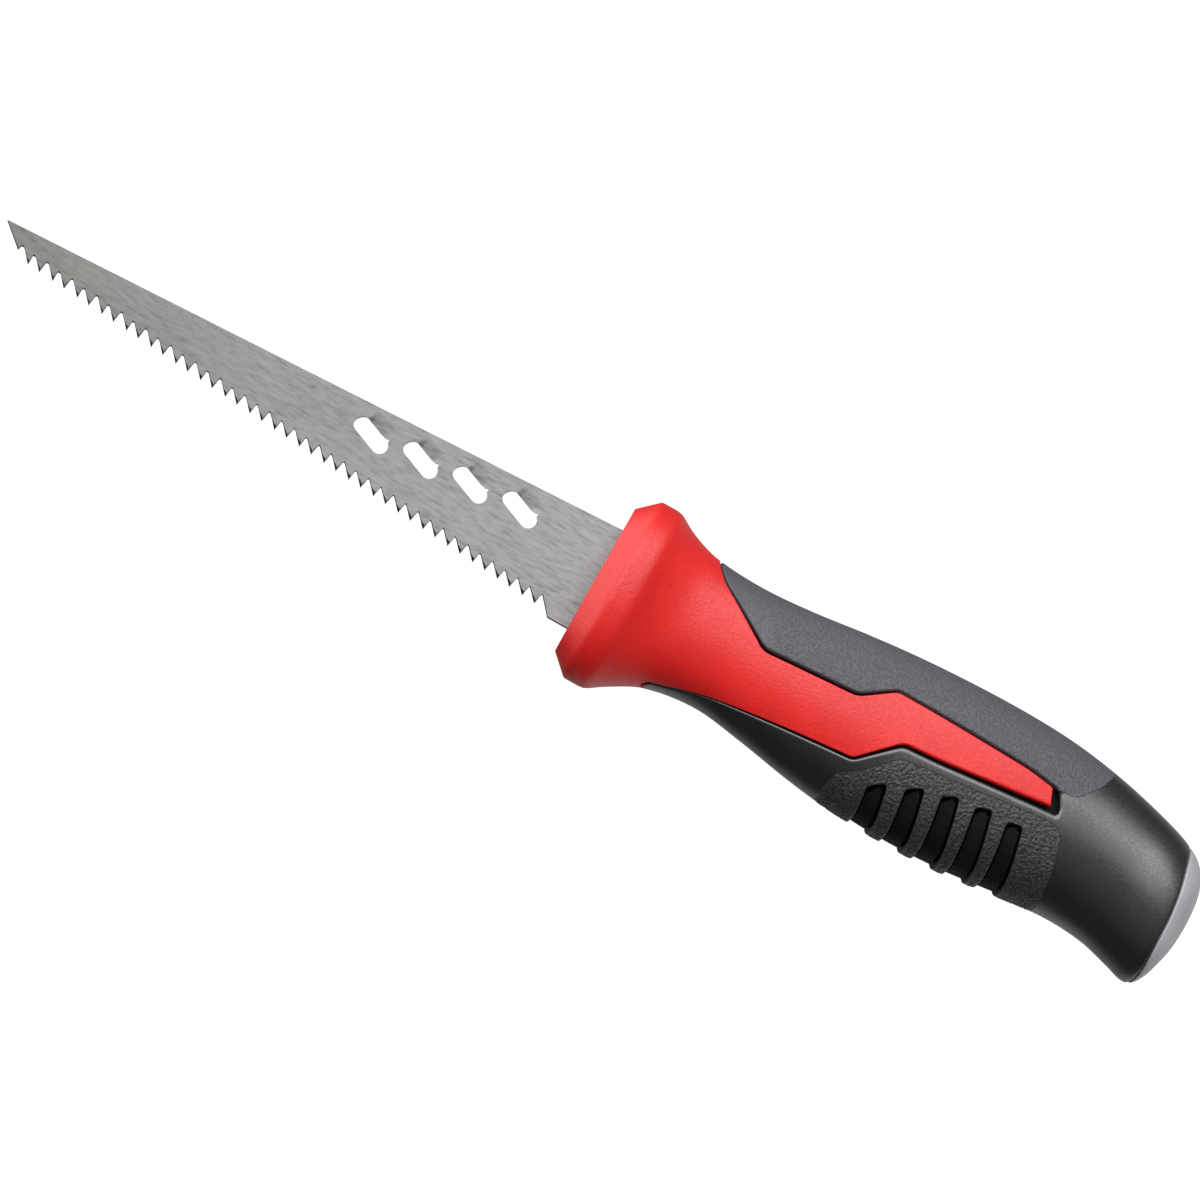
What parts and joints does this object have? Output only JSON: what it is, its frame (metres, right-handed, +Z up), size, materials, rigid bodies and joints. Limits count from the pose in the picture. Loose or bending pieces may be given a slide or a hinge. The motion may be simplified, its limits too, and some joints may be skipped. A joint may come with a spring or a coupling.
{
  "type": "drywall saw",
  "caption": "Fixed-blade drywall saw: a pointed, toothed steel blade with slanted rasp holes, moulded into a flared guard and a ribbed rubber grip.",
  "frame": {"origin": "under the middle of the saw as it lies on its side, at the bottom of its box", "axes": "+X from the blade's tip towards the butt, +Y towards the spine (the teeth point along -Y), +Z up, square to the blade's face"},
  "size_m": [0.3048, 0.0446, 0.0332],
  "materials": {
    "blade_steel": "cold-rolled, with a fine grain along the blade",
    "core_nylon": "smooth, moulded black",
    "guard_red": "fine satin moulding",
    "grip_rubber": "fine leather texture",
    "body_rubber": "smooth satin",
    "pad_rubber": "coarse pebble texture",
    "cap_nylon": "satin"
  },
  "bodies": {
    "root": {"blade": "blade_steel", "handle_core": "core_nylon", "guard": "guard_red", "upper_grip": "grip_rubber", "grip_body": "body_rubber", "finger_pad": "pad_rubber", "butt_cap": "cap_nylon"}
  },
  "joints": []
}
